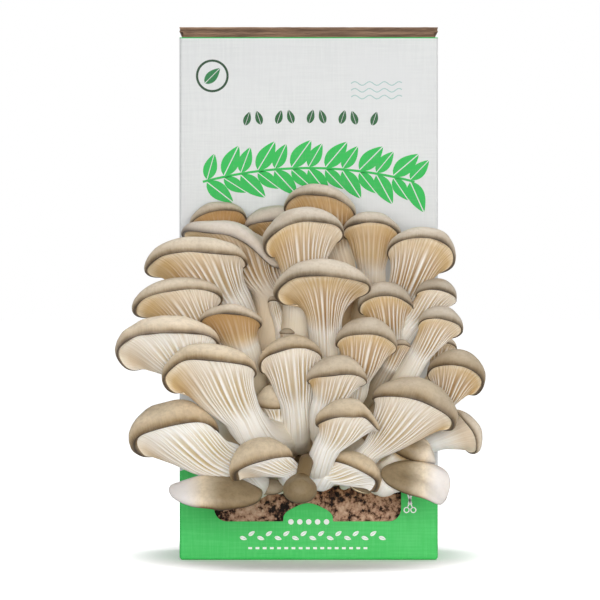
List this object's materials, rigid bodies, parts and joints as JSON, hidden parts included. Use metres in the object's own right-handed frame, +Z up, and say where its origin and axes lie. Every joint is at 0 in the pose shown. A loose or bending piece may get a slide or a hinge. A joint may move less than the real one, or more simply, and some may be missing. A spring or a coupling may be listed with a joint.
{
  "type": "oyster mushroom grow kit",
  "caption": "Cardboard grow kit standing upright, with a cluster of oyster mushrooms fanning out through the shaped window in its front.",
  "frame": {"origin": "centre of the carton's bottom face, on the surface it stands on", "axes": "+Z up the carton's height; -Y out of its front, where the mushrooms grow; +X to the right as seen from the front"},
  "size_m": [0.1724, 0.214, 0.2515],
  "materials": {
    "board": "matt printed",
    "substrate": "rough, moist",
    "mycelium": "felted",
    "mushroom": "satin"
  },
  "bodies": {
    "root": {"carton": "board", "lower_flap": "board", "top_flap": "board", "substrate": "substrate", "cluster_base": "mycelium", "mushroom_01": "mushroom", "mushroom_02": "mushroom", "mushroom_03": "mushroom", "mushroom_04": "mushroom", "mushroom_05": "mushroom", "mushroom_06": "mushroom", "mushroom_07": "mushroom", "mushroom_08": "mushroom", "mushroom_09": "mushroom", "mushroom_10": "mushroom", "mushroom_11": "mushroom", "mushroom_12": "mushroom", "mushroom_13": "mushroom", "mushroom_14": "mushroom", "mushroom_15": "mushroom", "mushroom_16": "mushroom", "mushroom_17": "mushroom", "mushroom_18": "mushroom", "mushroom_19": "mushroom", "mushroom_20": "mushroom", "mushroom_21": "mushroom", "mushroom_22": "mushroom", "mushroom_23": "mushroom", "mushroom_24": "mushroom", "mushroom_25": "mushroom", "mushroom_26": "mushroom", "mushroom_27": "mushroom", "mushroom_28": "mushroom", "mushroom_29": "mushroom", "mushroom_30": "mushroom", "mushroom_31": "mushroom", "mushroom_32": "mushroom", "mushroom_33": "mushroom", "mushroom_34": "mushroom", "mushroom_35": "mushroom", "mushroom_36": "mushroom", "mushroom_37": "mushroom"}
  },
  "joints": []
}
